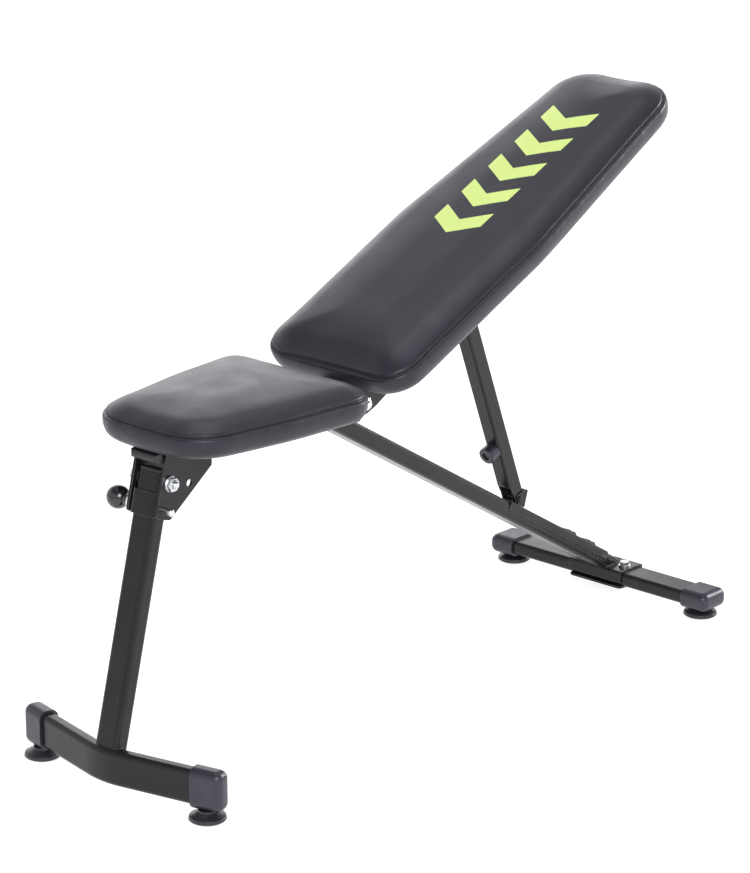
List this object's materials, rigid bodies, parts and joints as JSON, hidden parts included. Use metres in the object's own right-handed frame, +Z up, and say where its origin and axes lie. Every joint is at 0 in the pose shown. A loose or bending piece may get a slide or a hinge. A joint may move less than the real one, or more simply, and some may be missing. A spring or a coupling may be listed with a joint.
{
  "type": "weight bench",
  "caption": "Adjustable weight bench: fixed tapered seat, tilting backrest on a strut and stepped beam, folding front leg with a ball-knob pin, flared rubber feet.",
  "frame": {"origin": "middle of the bounding box at floor level, on the plane that splits the bench left and right", "axes": "+X towards the head end of the backrest, +Y towards the side with the locking pin's knob, +Z up"},
  "size_m": [1.0883, 0.4136, 0.7852],
  "materials": {
    "vinyl": "soft satin vinyl, fine grain",
    "board": "dark stained plywood",
    "frame_paint": "satin black powder coat",
    "zinc": "bright zinc plate",
    "rubber": "matt dark grey",
    "black_plastic": "satin",
    "knob": "gloss black"
  },
  "bodies": {
    "frame": {"seat_rail": "frame_paint", "seat_rail_cap": "black_plastic", "main_beam": "frame_paint", "leg_bracket_plates": "frame_paint", "hinge_ears": "frame_paint", "ladder_plate": "frame_paint", "ladder_saddles": "frame_paint", "rear_foot_bar": "frame_paint", "rear_saddle_plate": "frame_paint", "rear_clamp_plate": "frame_paint", "saddle_bolts": "zinc", "saddle_nuts": "zinc", "saddle_washers": "zinc", "rear_foot_caps": "rubber", "rear_glides": "rubber", "rear_glide_studs": "zinc", "seat_board": "board", "seat_pad": "vinyl", "seat_screws": "zinc", "leg_pivot_bolt": "zinc", "leg_pivot_nut": "zinc", "leg_pivot_washers": "zinc", "back_hinge_bolt": "zinc", "back_hinge_nut": "zinc", "back_hinge_washers": "zinc"},
    "front_leg": {"leg_tube": "frame_paint", "leg_plug": "black_plastic", "leg_bushes": "black_plastic", "leg_collar": "frame_paint", "front_foot_bar": "frame_paint", "front_foot_caps": "rubber", "front_glides": "rubber", "front_glide_studs": "zinc"},
    "lock_pin": {"lock_pin": "zinc", "ball_knob": "knob"},
    "backrest": {"back_pad": "vinyl", "back_board": "board", "back_rails": "frame_paint", "back_rail_plugs": "black_plastic", "back_cross_tube": "frame_paint", "back_screws": "zinc", "back_hinge_plates": "frame_paint", "strut_spacers": "frame_paint", "strut_pivot_bolt": "zinc", "strut_pivot_nut": "zinc", "strut_pivot_washers": "zinc"},
    "strut": {"strut_tube": "frame_paint", "strut_bushes": "black_plastic", "foot_pin": "frame_paint", "foot_catch": "frame_paint", "bumper": "rubber", "bumper_screw": "frame_paint"}
  },
  "joints": [
    {"name": "leg_fold", "type": "hinge", "parent": "frame", "child": "front_leg", "pos_m": [-0.43584, 0, 0.4065], "axis": [0, -1, 0], "range_deg": [0, 92]},
    {"name": "lock_pin_pull", "type": "slide", "parent": "frame", "child": "lock_pin", "axis": [0, 1, 0], "range_m": [0, 0.085]},
    {"name": "backrest_tilt", "type": "hinge", "parent": "frame", "child": "backrest", "pos_m": [-0.07334, 0, 0.431], "axis": [0, 1, 0], "range_deg": [0, 32.5]},
    {"name": "strut_swing", "type": "hinge", "parent": "backrest", "child": "strut", "pos_m": [0.15064, 0, 0.55111], "axis": [0, -1, 0], "range_deg": [0, 51]}
  ],
  "couplings": [
    {"joint": "strut_swing", "follows": "backrest_tilt", "ratio": 1.56}
  ]
}
